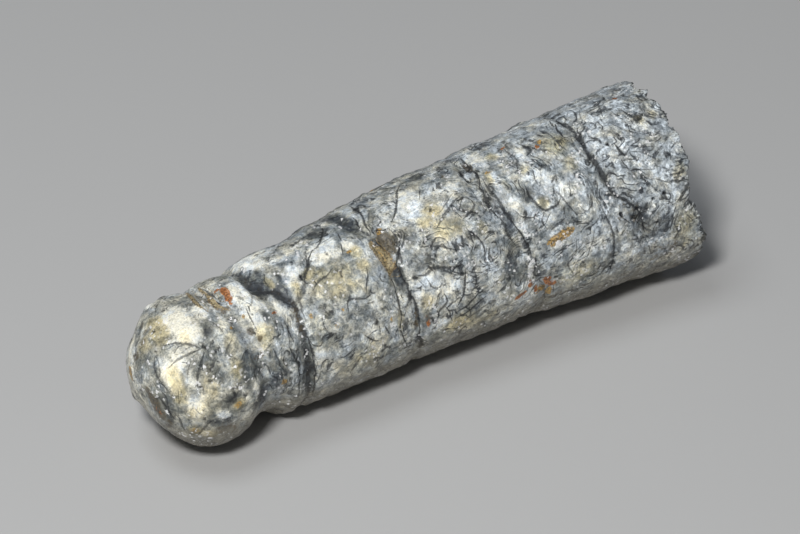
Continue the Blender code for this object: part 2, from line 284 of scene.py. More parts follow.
LINES = (
    # on the ball
    (0.24, 0.75, 0.04, ((-35.9, 11), (-36, 17), (-36.4, 22), (-36.6, 27), (-37, 31))),
    (0.3, 0.9, 0.08, ((-36.1, 9), (-36.8, 16), (-37.1, 24), (-37.1, 31), (-37, 37))),
    (0.34, 1, 0.08, ((-37.2, 37), (-36.9, 42), (-36.8, 48))),
    (0.26, 0.85, 0.05, ((-37.5, 47), (-37.2, 58), (-37.3, 68), (-37.2, 78))),
    (0.4, 0.95, 0.1, ((-38.2, 58), (-37.9, 70), (-37.4, 82), (-36.8, 92))),
    (0.34, 0.95, 0.1, ((-36.5, 84), (-36.1, 91), (-35.8, 101), (-35.4, 109))),
    (0.24, 0.6, 0.02, ((-35.5, 56), (-35.7, 62), (-35.8, 68))),
    (0.3, 1, 0.08, ((-31.2, 36), (-31.8, 40.5), (-32.3, 44.5), (-32.8, 49), (-33.05, 53), (-33.2, 57))),
    (0.24, 0.6, 0, ((-33, 37), (-33.6, 42), (-34, 48))),
    (0.3, 0.95, 0.06, ((-34.2, 9), (-33.7, 12), (-33.2, 15), (-32.4, 21), (-31.8, 26), (-31.4, 30))),
    (0.26, 0.85, 0.03, ((-33.8, 21), (-33.2, 19.5), (-32.7, 20.5), (-32.2, 23))),
    (0.22, 0.75, 0, ((-33.2, 25.5), (-32.6, 25), (-32, 26))),
    (0.28, 0.9, 0.03, ((-35.1, 29), (-34.4, 28.5), (-33.5, 29), (-32.7, 30), (-31.9, 31), (-31.2, 31.5))),
    (0.5, 0.45, 0, ((-29.2, 15), (-29.5, 19), (-29.9, 24), (-30.8, 28.5), (-31.5, 31))),
    (0.24, 0.75, 0.03, ((-28.6, 16), (-28.35, 20), (-28.2, 24), (-28.1, 29))),
    (0.3, 0.6, 0, ((-27.7, 37), (-28.6, 41), (-29.2, 46))),
    (0.24, 0.65, 0.03, ((-29.8, -31), (-29.4, -26), (-29.3, -19))),
    (0.26, 0.65, 0.03, ((-29.3, -12), (-29.5, -7), (-29.9, -4))),
    (0.3, 0.95, 0.14, ((-29.9, -36), (-30.6, -36), (-31.3, -34), (-31.8, -31))),
    (0.4, 0.7, 0.08, ((-33, -40), (-34.5, -37), (-35.5, -36), (-36.3, -34), (-37, -31), (-38.3, -35),
        (-39.1, -30), (-39.9, -12))),
    (0.4, 0.85, 0.05, ((-33.7, 108), (-33.4, 103), (-33, 97), (-32.6, 93), (-32.2, 91))),
    (0.5, 0.75, 0, ((-28.9, 74), (-29.5, 77), (-30.2, 78), (-30.7, 76))),
    (0.24, 0.65, 0, ((-34, 77), (-33.6, 82), (-32.9, 85))),
    (0.4, 1, 0.35, ((-26.2, -20), (-26.25, -14), (-26.3, -8), (-26.3, -3))),
    # between the first seam and the second
    (0.2, 0.9, 0.05, ((-24.4, 21.5), (-24.5, 27), (-24.55, 32), (-24.5, 36.5))),
    (0.28, 0.6, 0, ((-22.6, 9), (-23, 15), (-23.5, 19), (-24, 21))),
    (0.2, 0.55, 0, ((-22.4, 11), (-22.8, 17))),
    (0.22, 0.7, 0.03, ((-21.9, 39), (-22.2, 43), (-22.3, 47))),
    (0.22, 0.75, 0.04, ((-21.4, 42), (-21.6, 47), (-21.9, 50))),
    (0.28, 0.95, 0.12, ((-20.6, 39), (-20.7, 45), (-20.7, 51), (-20.8, 58))),
    (0.3, 0.8, 0.08, ((-21, 52), (-21.3, 56), (-21.5, 61))),
    (0.32, 0.7, 0.06, ((-23.5, 58), (-23.4, 63), (-23.2, 68))),
    (0.26, 0.8, 0.08, ((-23.3, 75), (-23.2, 80), (-23.1, 84))),
    (0.34, 0.5, 0, ((-22.6, 70), (-22.4, 78), (-22.3, 86))),
    (0.42, 0.85, 0.1, ((-25.2, 63), (-24.7, 68), (-24.6, 72))),
    (0.4, 0.9, 0.12, ((-24.9, 86), (-24.6, 91), (-24.5, 95))),
    (0.3, 0.95, 0.16, ((-21, 71), (-20.7, 79), (-20.75, 87), (-20.8, 98), (-20.9, 106))),
    (0.4, 1, 0.2, ((-19.3, 62), (-19.2, 69), (-19.15, 79), (-19.1, 89), (-19.05, 98), (-19, 105),
        (-18.9, 113))),
    (0.22, 0.85, 0.08, ((-20.2, 1), (-20.6, 5), (-20.85, 9))),
    (0.34, 0.9, 0.14, ((-22.3, 2), (-21.9, 8), (-21.4, 14), (-20.9, 21), (-20.4, 26), (-20, 31),
        (-19.6, 35))),
    (0.3, 0.7, 0.05, ((-18.3, 29), (-18.5, 34), (-18.7, 40), (-18.8, 47))),
    # from the second seam over the top
    (0.42, 1, 0.34, ((-14.4, 6), (-15, 9), (-15.5, 13), (-15.9, 16.5), (-16.4, 20.5))),
    (0.55, 0.75, 0.1, ((-16.6, 21), (-17.2, 26), (-17.9, 30), (-18.6, 34))),
    (0.32, 1, 0.2, ((-14.6, 7), (-14.2, 5), (-13.7, 3.5), (-13.2, 3))),
    (0.25, 0.95, 0.12, ((-13.3, 3), (-12.9, 1), (-12.4, -1), (-11.7, -6), (-11, -11), (-10.6, -16))),
    (0.32, 0.95, 0.12, ((-10.1, 0), (-10.3, 3), (-10.4, 6))),
    (0.28, 0.95, 0.12, ((-10.8, 10), (-11, 13), (-11.3, 17))),
    (0.24, 0.85, 0.04, ((-9.9, 35), (-10.2, 40), (-10.7, 44), (-11.2, 48.5))),
    (0.24, 0.75, 0.03, ((-13.6, 25), (-14.4, 27), (-15.2, 27.5), (-15.9, 29), (-16.4, 31))),
    (0.28, 0.85, 0.05, ((-13.8, 55), (-13.6, 50), (-13.2, 48.5), (-12.8, 49.5), (-12.1, 51),
        (-11.5, 52.5), (-10.8, 52))),
    (0.28, 0.95, 0.08, ((-12.5, 77), (-12, 80.5), (-11.5, 83.5), (-11.05, 85))),
    (0.45, 0.9, 0.1, ((-9.8, 78), (-9.6, 81), (-9.5, 84))),
    (0.3, 0.8, 0.06, ((-10.6, 75), (-10.6, 80))),
    (0.32, 0.65, 0, ((-15.2, 78), (-14.6, 78), (-14.1, 77))),
    (0.36, 0.85, 0.06, ((-15.4, 86), (-14.8, 85), (-14, 83))),
    (0.22, 0.6, 0, ((-10.45, 88), (-10.5, 94))),
    (0.5, 0.75, 0.05, ((-13.3, 93), (-13.9, 98), (-14.4, 103))),
    (0.18, 0.75, 0.03, ((-17, 53), (-17, 58), (-16.8, 63))),
    (0.28, 0.9, 0.06, ((-19.1, 64.5), (-18.7, 68), (-18, 70), (-17.7, 68))),
    (0.22, 0.8, 0.03, ((-18.4, 92), (-18.7, 98), (-19.2, 103))),
    (0.24, 0.95, 0.14, ((-7.5, 46), (-7.3, 51), (-7.25, 55), (-7.4, 60), (-7.5, 65), (-7.55, 71),
        (-7.5, 77), (-7.85, 83), (-7.7, 89), (-7.3, 95), (-7, 102))),
    # the third seam
    (0.28, 1, 0.32, ((-6.7, 40), (-6.7, 46), (-6.6, 51), (-6.4, 56), (-6.3, 62), (-6.1, 67), (-5.85, 72),
        (-5.8, 80), (-5.7, 88), (-5.65, 95))),
    (0.5, 1, 0.25, ((-5.65, 95), (-5.6, 100), (-5.2, 107), (-4.8, 115))),
    (0.42, 1, 0.32, ((-7.3, -9), (-7.3, -5), (-7.5, -2), (-7.6, 2))),
    (0.3, 0.95, 0.14, ((-5.8, -26), (-6, -18), (-6.1, -11), (-6.4, -4), (-6.8, 1), (-7, 5), (-7, 10))),
    (0.18, 0.7, 0.02, ((-4.9, -8), (-5.4, -6), (-5.9, -2), (-6.4, 1))),
    (0.18, 0.65, 0.02, ((-5.1, -1), (-5.6, 1), (-6, 4), (-6.2, 6))),
    (0.22, 0.85, 0.04, ((-5.2, 3), (-5.3, 7), (-5.9, 9), (-6.2, 11))),
    (0.24, 0.9, 0.06, ((-6.3, 12), (-5.9, 13.5), (-5.2, 15))),
    (0.24, 0.8, 0.04, ((-5.15, 15.5), (-5, 22), (-4.95, 29))),
    (0.32, 0.95, 0.1, ((-5, 29), (-5.6, 33), (-6.1, 36.5), (-6.6, 40))),
    # the third chamber's swirls
    (0.3, 0.95, 0.1, ((-0.2, -17), (-1, -12.5), (-1.5, -8), (-2.1, -3), (-2.7, 2), (-3.4, 7),
        (-4.2, 11))),
    (0.2, 0.9, 0.05, ((1, -4), (0.6, 0.5), (0.1, 4.5))),
    (0.32, 0.8, 0.03, ((3.9, 16), (3, 18), (2.1, 21), (1.2, 24), (0.4, 27), (-0.4, 30))),
    (0.18, 0.55, 0, ((3.4, 12.5), (2.4, 16), (1.6, 19), (0.6, 22))),
    (0.18, 0.8, 0.02, ((4.3, 17.5), (3.8, 20), (3.3, 23.5))),
    (0.3, 0.85, 0.05, ((4.6, 19), (5, 22), (5, 25.5), (4.5, 28), (3.8, 30), (3.1, 31))),
    (0.22, 0.95, 0.06, ((2.8, 39), (3.2, 43), (3.6, 47), (3.8, 51), (3.7, 56), (3.5, 59))),
    (0.32, 0.85, 0.08, ((-2.9, 37.5), (-1.9, 39.5), (-1.1, 41.5), (-0.5, 43.5), (0, 46), (0.5, 48))),
    (0.26, 0.85, 0.04, ((1.2, 45.5), (1.8, 47.5), (2.4, 50))),
    (0.38, 0.9, 0.1, ((-4.5, 54), (-3.75, 55), (-2.75, 53), (-1.8, 54.7), (-0.8, 57.5), (-0.15, 58.8),
        (0.5, 58.5))),
    (0.3, 0.85, 0.05, ((-2.75, 53), (-1.7, 56), (-0.9, 60.8), (-0.3, 63.5))),
    (0.24, 0.75, 0.03, ((-3.8, 58.5), (-3.4, 65), (-2.7, 66.5))),
    (0.22, 0.7, 0.03, ((-4.8, 56), (-4.35, 61.5))),
    (0.28, 0.55, 0, ((-1.85, 60), (-1.8, 67.5))),
    (0.28, 0.95, 0.06, ((0.95, 62), (0.5, 69.5), (0.4, 73), (0.1, 77), (-0.15, 80.5), (-0.65, 83.5))),
    (0.24, 0.8, 0.04, ((1.95, 64), (1.9, 71.5), (1.7, 76), (1.2, 78))),
    (0.3, 0.95, 0.06, ((2, 80.5), (1.6, 84), (0.75, 87), (-0.1, 88.5), (-0.9, 89))),
    (0.28, 0.9, 0.05, ((2.85, 86), (2, 88.5), (1.05, 91), (0.2, 93), (-0.95, 94))),
    (0.22, 0.65, 0.03, ((3.4, 91), (2.4, 94), (1.2, 97), (0, 99))),
    (0.2, 0.55, 0.02, ((3.9, 96), (2.8, 99), (1.4, 102.5))),
    (0.3, 0.9, 0.06, ((-2.1, 73.5), (-1.95, 78), (-2.35, 81), (-3, 82.5), (-3.2, 85.5), (-3.4, 90))),
    (0.26, 0.9, 0.05, ((-2.25, 81.5), (-1.85, 86), (-1.75, 90), (-1.5, 94.5))),
    (0.4, 0.7, 0.04, ((3.9, 56), (3.5, 62), (3.7, 68))),
    # the fourth seam
    (0.42, 1, 0.2, ((8.1, -19), (7.8, -14), (7.5, -9), (7, -5), (7.15, -1), (7.15, 3), (7, 8),
        (6.9, 11))),
    (0.32, 1, 0.5, ((6.9, 11), (6.6, 14.5), (6.45, 19.5), (6.4, 27), (6.4, 32), (6.5, 38.5))),
    (0.26, 0.9, 0.2, ((6.5, 38.5), (6.9, 43.5), (7.15, 48), (7.45, 54), (7.6, 59))),
    (0.36, 0.9, 0.12, ((7.5, 13), (7.4, 19), (7.55, 25), (7.7, 31), (7.7, 37), (7.8, 42), (8.05, 49))),
    (0.28, 1, 0.18, ((8.05, 49), (8.3, 54), (8.6, 60), (8.8, 66), (8.95, 72))),
    (0.34, 1, 0.25, ((9.3, 77), (9.3, 81), (9.2, 85), (9.6, 88), (10, 88.5))),
    (0.3, 0.6, 0.08, ((9.9, 92), (10.4, 98), (11, 112))),
    # the fourth chamber
    (0.26, 0.75, 0.04, ((12.2, -5), (12.2, 0), (12.4, 5), (12.2, 9), (11.8, 13), (11.7, 17))),
    (0.4, 0.75, 0.03, ((14, -4), (14.4, 2), (14.4, 6), (13.7, 8))),
    (0.28, 0.85, 0.06, ((13, 19.5), (12.9, 22), (12.6, 26.5))),
    (0.32, 0.95, 0.1, ((11.2, 29), (11.1, 35), (11.5, 42), (12, 46.5), (12.8, 47), (13.6, 46.5),
        (14.2, 44))),
    (0.18, 0.85, 0.03, ((8.9, 41), (9.2, 45), (10.2, 48), (11.3, 48.5))),
    (0.26, 0.85, 0.05, ((11.8, 48), (11.3, 53), (11.5, 57.5))),
    (0.2, 0.8, 0.02, ((11.5, 55), (11.9, 53), (12.3, 51))),
    (0.22, 0.8, 0.03, ((14.1, 50), (14, 55))),
    (0.24, 0.75, 0.03, ((13.4, 41.5), (13.9, 38.5), (14.3, 40), (14.6, 46), (15.3, 56))),
    (0.2, 0.7, 0.03, ((16.1, 53), (16.5, 57), (17.2, 55.5), (17.6, 53))),
    (0.3, 0.85, 0.06, ((11.7, 76), (12.4, 75), (13.2, 74.5), (14.2, 73))),
    (0.24, 0.75, 0.03, ((14.6, 72), (14.4, 79), (13.8, 83), (13.3, 87), (13.8, 93), (14.2, 97))),
    (0.26, 0.75, 0.03, ((11.6, 100), (11.8, 108))),
    (0.4, 0.8, 0.05, ((12.2, 59.5), (12.9, 58), (13.7, 56.5))),
    (0.2, 0.6, 0.02, ((16.9, 70), (16.4, 78), (15.6, 86))),
    # the fifth seam
    (0.34, 1, 0.28, ((19.4, -9), (19, -4), (18.9, 1), (18.8, 4), (19.1, 7))),
    (0.36, 1, 0.24, ((20.1, -16), (20.4, -8), (20.3, 0), (20.2, 8), (20.1, 15), (19.95, 24), (20, 32),
        (20.1, 38), (20.2, 45), (20.35, 50), (20.8, 54.5), (21.5, 60), (22.1, 65), (22.5, 68.5),
        (22.8, 73), (22.95, 78), (23.1, 83))),
    (0.26, 0.85, 0.08, ((18.6, 62), (18.9, 69), (19.1, 76), (19.15, 84), (19.1, 92), (18.9, 99),
        (18.7, 106))),
    (0.34, 0.6, 0.03, ((19.4, 8), (19, 15), (18.9, 22))),
    # behind the broken end
    (0.26, 0.8, 0.04, ((26.1, 9.5), (26.35, 12.5), (26.3, 15.5))),
    (0.32, 0.65, 0.03, ((24.4, 12), (24.8, 16), (25.4, 21), (26.4, 24))),
    (0.2, 0.7, 0.03, ((22.5, 40), (23.9, 44), (25.5, 47))),
    (0.2, 0.75, 0.03, ((26.4, 47), (27.9, 52))),
    (0.24, 0.7, 0.03, ((24.6, 29), (25.6, 32), (26.7, 34))),
    (0.34, 0.7, 0.04, ((24.5, 33), (25.5, 36), (26.1, 40))),
    (0.24, 0.65, 0.03, ((24, 49), (24.8, 56), (25.2, 60))),
    (0.24, 0.6, 0.02, ((27, -22), (26.5, -16), (26.1, -10))),
    (0.28, 0.65, 0.02, ((25.3, -18), (25.1, -11), (24.1, 2))),
    (0.26, 0.6, 0.02, ((23.1, -14), (22.5, -9), (22.1, -5))),
    (0.4, 1, 0.32, ((23.1, 25), (23.2, 29), (23.4, 34))),
    (0.34, 1, 0.3, ((22.8, 36.5), (22.95, 40))),
    (0.42, 0.95, 0.25, ((20.8, 70), (21.2, 73))),
)
LINE_REACH = 0.75  # how far from a line its own measure is kept
LINE_LAYERS = 4  # so that lines which cross don't cut one another
LINE_STEP = 0.12
LINE_TAPER, LINE_TIP = 1.2, 0.35  # how far a line thins before its end, and to what share
LINE_END = 0.3  # about how far past its ends a line fades out
FAINT_INK = 0.02
GROOVE_WIDTH = 0.22  # the least, so that the mesh carries it
FAR = 9.0


def curve_through(spots):
    """Points along a smooth line through places of the skin, and the way that it runs there."""
    knots = np.array([place(*spot) for spot in spots])
    ends = np.vstack((2 * knots[0] - knots[1], knots, 2 * knots[-1] - knots[-2]))
    points = []
    for before, start, stop, after in zip(ends, ends[1:], ends[2:], ends[3:]):
        count = max(int(np.linalg.norm(stop - start) / LINE_STEP), 1)
        t = np.arange(count)[:, None] / count
        bend = 2 * before - 5 * start + 4 * stop - after
        twist = 3 * start - before - 3 * stop + after
        points.append(start + 0.5 * t * (stop - before + t * (bend + t * twist)))
    points = np.vstack(points + [knots[-1:]])
    ways = np.gradient(points, axis=0)
    return points, ways / np.linalg.norm(ways, axis=1)[:, None]


def beside(spots):
    """The points of the skin within reach of a line: which, how far across it they are, how far
    past its ends, and how much of it lies between them and its nearer end."""
    points, ways = curve_through(spots)
    low, high = points.min(0) - LINE_REACH, points.max(0) + LINE_REACH
    inside = np.all((skin > low) & (skin < high), axis=1)
    found = np.flatnonzero(inside)
    gaps = skin[found][:, None] - points[None]
    nearest = np.argmin((gaps**2).sum(2), axis=1)
    gap = gaps[np.arange(len(found)), nearest]
    side = np.cross(ways[nearest], outward[found])
    side /= np.linalg.norm(side, axis=1)[:, None]
    across = (gap * side).sum(1)
    past = np.abs((gap * ways[nearest]).sum(1))
    from_end = np.minimum(nearest, len(points) - 1 - nearest) * LINE_STEP
    close = (np.abs(across) < LINE_REACH) & (past < LINE_REACH)
    return found[close], across[close], past[close], from_end[close]


def ending(past):
    """1 beside a line, easing to 0 past its ends."""
    return eased(1.3 - past / LINE_END)


line_across = np.full((LINE_LAYERS, len(skin)), FAR)
line_ink = np.zeros((LINE_LAYERS, len(skin)))
sunk = np.zeros(len(skin))
for width, darkness, depth, spots in LINES:
    found, across, past, from_end = beside(spots)
    taper = LINE_TIP + (1 - LINE_TIP) * eased(from_end / LINE_TAPER)
    ink = darkness * eased(1.6 * (1 - np.abs(across) / LINE_REACH)) * ending(past)
    free = [n for n in range(LINE_LAYERS) if not np.any(line_ink[n][found] > FAINT_INK)]
    layer = free[0] if free else LINE_LAYERS - 1
    stronger = ink > line_ink[layer][found]
    line_across[layer][found[stronger]] = (across / (width / 2 * taper))[stronger]
    line_ink[layer][found[stronger]] = ink[stronger]
    groove = np.exp(-((across / max(width * 0.75, GROOVE_WIDTH)) ** 2))
    hollow = depth * taper * groove * ending(past)
    sunk[found] = np.maximum(sunk[found], hollow)
for layer in range(LINE_LAYERS):
    keep(f"line {layer} across", line_across[layer])
    keep(f"line {layer} ink", line_ink[layer])

# --- The ledges and the lip ---------------------------------------------------------------------
# Thin edges of the shell stand proud on top of the ball, and a golden crust lines the lower side
# of the third seam. Each is (width, height, places that it runs through).

LEDGES = (
    (0.26, 0.22, ((-27.3, -34), (-27.8, -24), (-28.1, -16), (-28.4, -8), (-28.5, -1), (-28.3, 4))),
    (0.22, 0.22, ((-26.3, -27), (-26.6, -18), (-26.7, -7), (-26.8, 2), (-26.6, 9), (-26.2, 14))),
    (0.5, 0.16, ((-7.5, 17), (-7.45, 22), (-7.25, 28), (-7.2, 34), (-7.15, 39), (-7.4, 45))),
)
LEDGE_TIP = 0.4  # to what share a ledge thins at its ends
RIDGE_WIDTH = 0.4  # the least, so that the mesh carries it

ledge_across = np.full(len(skin), FAR)
raised = np.zeros(len(skin))
for width, height, spots in LEDGES:
    found, across, past, from_end = beside(spots)
    taper = (LEDGE_TIP + (1 - LEDGE_TIP) * eased(from_end)) * ending(past)
    measure = across / (width / 2) / np.maximum(taper, 0.05)
    nearer = np.abs(measure) < np.abs(ledge_across[found])
    ledge_across[found[nearer]] = measure[nearer]
    ridge = height * taper * np.exp(-((across / max(width, RIDGE_WIDTH) / 0.6) ** 2))
    raised[found] = np.maximum(raised[found], ridge)
keep("ledge across", np.clip(ledge_across, -FAR, FAR))

# --- The seams between the chambers -------------------------------------------------------------
# Where each wall between two chambers meets the skin, the softer filling has worn out and left a
# groove, now full of dark clay. Each is (half width towards the small end, half width towards the
# broken end, darkness, extra depth, and (around, along) at places once round the stone).

SEAMS = (
    (0.6, 0.4, 0.45, 0.05, ((-55, -27.2), (0, -26.9), (40, -26.1), (78, -25.4), (105, -25.6),
        (190, -25.8), (240, -26.6))),
    (0.45, 0.45, 1, 0.2, ((-40, -22.4), (-20, -21.9), (0, -21.6), (10, -21.3), (20, -20.2), (32, -19.35),
        (50, -19.4), (70, -19.5), (90, -19.6), (110, -19.4), (180, -19.4), (250, -21.4))),
    (0.24, 0.2, 0.7, 0.16, ((-40, -8.6), (-10, -8.2), (5, -7.6), (20, -6.7), (42, -6.7), (55, -6.5),
        (70, -6), (90, -5.8), (105, -5.4), (122, -4.7), (180, -5.2), (250, -7.6))),
    (0.14, 0.38, 0.62, 0.12, ((-30, 8.1), (-8, 7.4), (10, 7), (25, 6.8), (40, 7), (50, 7.7), (60, 8.4),
        (71, 8.9), (90, 9.6), (115, 10.9), (180, 10.6), (250, 9.2))),
    (0.2, 0.24, 0.42, 0.08, ((-30, 20.4), (0, 20.3), (36, 20), (50, 20.3), (60, 21.4), (70, 22.5),
        (84, 23.1), (130, 23.6), (200, 22.6), (270, 21.2))),
)
# (around, how dark) at places once round the stone
SEAM_DARKNESS = (
    (-60, 0.35), (-25, 0.7), (5, 0.9), (30, 1), (95, 1), (120, 0.6), (180, 0.5), (260, 0.5),
)
SEAM_WANDER, WANDER_SIZE = 0.22, 1.3  # how far a seam's edges stray, and over what length


def round_the_stone(stations):
    """A value known at some angles, read at every point of the skin."""
    angles = np.array([station[0] for station in stations] + [stations[0][0] + 360.0])
    values = np.array([station[1] for station in stations] + [stations[0][1]])
    turned = (skin_around - angles[0]) % 360 + angles[0]
    found = np.clip(np.searchsorted(angles, turned, side="right") - 1, 0, len(angles) - 2)
    part = eased((turned - angles[found]) / (angles[found + 1] - angles[found]))
    return values[found] + (values[found + 1] - values[found]) * part


wander = np.array([noise.noise(Vector(point) / WANDER_SIZE) for point in skin]) * SEAM_WANDER
seam_cover = np.zeros(len(skin))
for before, after, darkness, depth, stations in SEAMS:
    away = skin_along - round_the_stone(stations) + wander
    away /= np.where(away < 0, before, after)
    cover = np.exp(-(away**2)) * round_the_stone(SEAM_DARKNESS)
    seam_cover = np.maximum(seam_cover, darkness * cover)
    sunk = np.maximum(sunk, depth * cover)
keep("seam", seam_cover * (1 - on_break))

# --- Patches, stains and rust -------------------------------------------------------------------
# The calcite is white where it is pure, cream where it holds a little iron, and grey where clay
# veils it. A long grey band along the far top edge is painted shade, and two of the white marks are
# made brighter as painted highlights. Rust sits in a few holes. Each mark is (along, around, half
# length, half breadth, strength), and then its lean in degrees if it has one.

WHITE = (
    # near side, from the ball to the broken end
    (-31.4, -4, 1.7, 2.5, 1.1), (-31.2, 14, 1.4, 1.5, 1.1), (-32.4, -12, 0.9, 0.9, 1),
    (-35.6, 36, 0.9, 2.2, 1.1), (-34.4, 33, 1.1, 0.7, 1.1), (-28.9, 4, 0.8, 1.2, 0.9),
    (-33.8, 73, 1.1, 1.1, 0.8), (-31, -44, 0.8, 0.7, 1), (-29, -38, 0.6, 0.4, 1),
    (-36, -47, 1.8, 0.4, 0.9), (-33.9, 26, 0.7, 0.6, 1), (-31, 88, 0.9, 0.7, 0.7),
    (-32.8, 106, 0.7, 0.5, 0.8), (-27.3, 20, 0.6, 1, 0.6), (-26.6, 78, 0.4, 0.6, 0.6),
    (-24, 33, 0.8, 1.6, 1), (-23.2, 16, 1, 1.4, 1), (-24, 4, 1, 1.6, 1), (-19, -27, 2.6, 1.8, 1),
    (-20.1, -14, 1.3, 1.1, 0.9), (-16.9, -4, 0.9, 0.6, 0.8), (-18.3, -6, 0.6, 0.6, 0.8),
    (-17.3, 14, 0.9, 1.6, 1), (-22.6, 21, 0.7, 0.9, 0.8), (-24.4, 22, 0.8, 0.9, 0.9),
    (-20.3, 41, 0.35, 1.4, 0.9), (-20.8, 33, 0.5, 1.1, 1), (-18.4, 16, 0.8, 1.3, 0.8),
    (-13.2, 8, 1.3, 1.5, 1), (-14.4, 12, 0.8, 0.9, 0.9), (-10.2, 12, 0.7, 0.9, 0.9),
    (-11.6, 4, 0.8, 0.8, 0.8), (-12, 15, 0.8, 0.7, 0.8), (-18.2, 75, 0.6, 0.9, 0.7),
    (-10.5, 58, 0.7, 1.3, 0.6), (-11.8, 72, 0.8, 0.9, 0.6), (-1.3, -2, 1.7, 1.5, 1),
    (-1.5, 8, 1.3, 1, 0.9), (-2.3, 14, 0.8, 0.8, 0.8), (2.2, 3, 1.2, 1, 0.9), (4, 6, 0.8, 0.8, 0.8),
    (-4.9, 62, 0.6, 1, 0.8), (-5.6, 56, 0.4, 0.7, 0.7), (-3.4, 57, 0.9, 0.9, 0.8),
    (-1.8, 68, 1.1, 1.1, 0.8), (-3.2, 94, 1, 0.9, 0.7), (-6.8, 72, 0.2, 2.2, 0.7), (8.8, -8, 0.8, 2, 1),
    (8.75, 16, 0.55, 1.9, 1), (13, 12, 0.8, 0.8, 0.8), (13.6, 28, 1, 1.3, 0.8), (9.1, 34, 0.6, 1.2, 0.7),
    # the two strongest marks, at 8.8 along 80 around and 12.4 along 69.5 around, are white crystals made
    # brighter as painted highlights
    (15, 41, 0.9, 1.1, 0.8), (11.4, 0, 0.7, 0.8, 0.8), (13.4, 3, 0.6, 0.9, 0.8), (8.8, 80, 0.45, 2, 2),
    (8.9, 51, 0.35, 1, 0.8), (12.4, 69.5, 0.7, 0.5, 1.5), (12.3, 53, 0.6, 0.7, 0.8),
    (15.9, 82, 1.7, 0.5, 0.8, -30), (16.8, 78, 0.9, 0.5, 0.7), (22.5, -4, 0.7, 1.2, 0.7),
    (23, 4, 0.7, 1, 0.7), (24.2, -10, 0.7, 0.9, 0.6), (25.6, 13, 0.5, 0.8, 0.8),
    (26.8, -7, 0.7, 0.6, 0.6), (30.4, -2, 0.5, 1.6, 0.8), (24.4, 41, 0.6, 0.8, 0.7),
    (25.5, 50, 0.5, 1.2, 0.7), (27.4, 55, 0.4, 1.7, 0.8), (26.5, 54, 0.4, 0.9, 0.6),
    # far side and underneath
    (-4, 200, 5, 4, 0.8, 20), (14, 240, 4, 3, 0.8, -20), (-16, 250, 3, 4, 0.9), (-33, 200, 3, 3, 0.7),
    (25, 190, 3, 3, 0.6), (-38, -60, 2.5, 2.5, 0.5),
)
CREAM = (
    # near side
    (-33, -20, 0.9, 1.5, 0.9), (-33.8, -5, 1.2, 1.8, 1), (-31.9, 16, 1, 1.1, 0.6),
    (-35.2, 43, 1, 1.6, 0.9), (-35.4, 58, 1.1, 1.6, 0.8), (-32, 62, 1.3, 1.9, 0.6),
    (-28.4, 57, 0.9, 1.6, 0.9), (-29, 84, 0.9, 0.9, 0.9), (-34.1, 103, 1.1, 1.1, 0.9),
    (-32.3, 107, 1.2, 0.8, 0.8), (-33, 80, 2.6, 1.6, 0.4), (-35.6, -16, 1, 1.5, 0.6),
    (-27.8, 40, 1, 1.4, 0.6), (-23.8, 44, 1.2, 1.5, 1), (-24.1, 52, 0.9, 0.9, 0.8),
    (-20.25, 10, 0.4, 1.3, 1.1), (-18.2, 25, 0.6, 1.2, 0.9), (-15.7, 18, 0.8, 0.9, 0.9),
    (-14.8, 24, 0.7, 0.9, 0.8), (-9.9, 21, 0.9, 0.9, 1), (-10.1, 32, 0.9, 1.2, 0.9),
    (-13.5, 35, 3.4, 2.4, 0.7), (0.2, 17, 1.5, 1.1, 1), (-1.2, 22, 1, 0.9, 0.9),
    (1, 33, 2.4, 1.4, 0.9, 10), (4.5, 41, 0.8, 1, 0.6), (8.3, 11, 0.5, 1.1, 0.9), (10.5, -4, 0.8, 1, 0.8),
    (12.3, 17, 0.7, 0.7, 0.7), (9.3, 22, 0.5, 0.9, 0.7), (12.2, 42, 0.8, 0.8, 0.8),
    (17.3, 8, 1.7, 2.2, 0.9), (17.2, 25, 1, 1.2, 0.7), (27.3, 14, 0.7, 0.8, 0.7),
    (29.1, 14, 0.6, 0.8, 0.6), (28.8, 52, 0.7, 1, 0.7), (28.2, 55, 0.6, 0.9, 0.7),
    (-4.4, 73, 0.8, 1.2, 0.7), (-4.6, 79, 0.6, 0.9, 0.6), (-7.8, 80, 0.6, 1.6, 0.7),
    (0.2, 99, 3, 1.6, 0.7), (2, 103, 3.4, 1.4, 0.7), (28, 90, 1.8, 3.4, 0.7), (-13, 95, 4, 2.4, 0.5),
    (-18, 60, 1, 2.4, 0.4), (14.5, 96, 3.4, 1.8, 0.6),
    # far side and underneath
    (-9, 190, 3, 3, 0.7), (6, 215, 3, 3, 0.6), (18, 280, 3, 3, 0.5), (-34, 160, 3, 3, 0.5),
)
